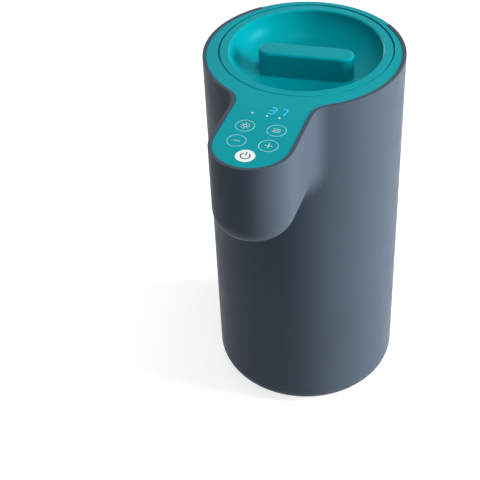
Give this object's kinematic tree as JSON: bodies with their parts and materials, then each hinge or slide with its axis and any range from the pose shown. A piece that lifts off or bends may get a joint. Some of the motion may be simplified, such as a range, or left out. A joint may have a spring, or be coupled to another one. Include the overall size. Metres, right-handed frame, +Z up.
{
  "type": "baby formula maker",
  "caption": "Countertop water heater and dispenser for baby bottles: round body, front spout with touch panel, lift-off dished lid with a grip bar, and a lift-out water tank.",
  "frame": {"origin": "centre of the bounding box's bottom face, on the surface that the feet stand on", "axes": "+Z up along the trunk; -Y is the front, where the spout points; X 0 is the plane of symmetry"},
  "size_m": [0.15, 0.227, 0.305],
  "materials": {
    "slate_plastic": "satin moulded plastic, dark slate blue",
    "teal_plastic": "satin-gloss moulded plastic, teal",
    "black_plastic": "fine matt moulded plastic",
    "grey_plastic": "glass-filled moulded plastic",
    "white_plastic": "natural moulded plastic",
    "clear_plastic": "clear food-safe plastic, smooth",
    "rubber": "matt black rubber",
    "silicone": "translucent silicone",
    "steel": "zinc-plated steel",
    "aluminium": "die-cast aluminium",
    "brass": "plain brass",
    "circuit_board": "green solder resist",
    "cable": "flexible black sleeve"
  },
  "bodies": {
    "housing": {"housing_shell": "slate_plastic", "base_plate": "black_plastic", "rubber_feet": "rubber", "base_screws": "steel", "top_deck": "teal_plastic", "inner_frame": "grey_plastic", "dock_seal": "silicone", "hose_dock_to_meter": "silicone", "flow_meter_body": "white_plastic", "flow_meter_cap": "white_plastic", "hose_meter_to_pump": "silicone", "pump_mount": "rubber", "pump_head": "white_plastic", "pump_cover": "white_plastic", "pump_motor": "steel", "hose_pump_to_heater": "silicone", "heater_body": "aluminium", "heater_element": "steel", "heater_lower_cap": "grey_plastic", "heater_upper_cap": "grey_plastic", "heater_bracket": "grey_plastic", "thermal_cutouts": "steel", "temperature_sensors": "brass", "hose_heater_to_nozzle": "silicone", "nozzle": "black_plastic", "control_board": "circuit_board", "control_board_screws": "steel", "touch_springs": "steel", "display_module": "black_plastic", "power_board": "circuit_board", "power_board_parts": "black_plastic", "control_cable": "cable", "level_sensor": "circuit_board", "cord_gland": "black_plastic", "gland_nut": "black_plastic"},
    "tank": {"water_tank": "clear_plastic", "tank_filter": "white_plastic", "tank_valve": "silicone", "float_cap": "white_plastic"},
    "lid": {"lid": "teal_plastic", "lid_seal": "silicone"},
    "float": {"level_float": "white_plastic"},
    "pump_rotor": {"pump_impeller": "black_plastic"},
    "meter_rotor": {"flow_turbine": "black_plastic"}
  },
  "joints": [
    {"name": "tank_lift", "type": "slide", "parent": "housing", "child": "tank", "axis": [0, 0, 1], "range_m": [0, 0.14]},
    {"name": "lid_lift", "type": "slide", "parent": "tank", "child": "lid", "axis": [0, 0, 1], "range_m": [0, 0.05]},
    {"name": "float_rise", "type": "slide", "parent": "tank", "child": "float", "axis": [0, 0, 1], "range_m": [0, 0.06]},
    {"name": "pump_spin", "type": "hinge", "parent": "housing", "child": "pump_rotor", "pos_m": [-0.03, 0.028, 0.02], "axis": [0, 0, 1], "continuous": true},
    {"name": "meter_spin", "type": "hinge", "parent": "housing", "child": "meter_rotor", "pos_m": [0, 0.0425, 0.1397], "axis": [0, 0, 1], "continuous": true}
  ]
}
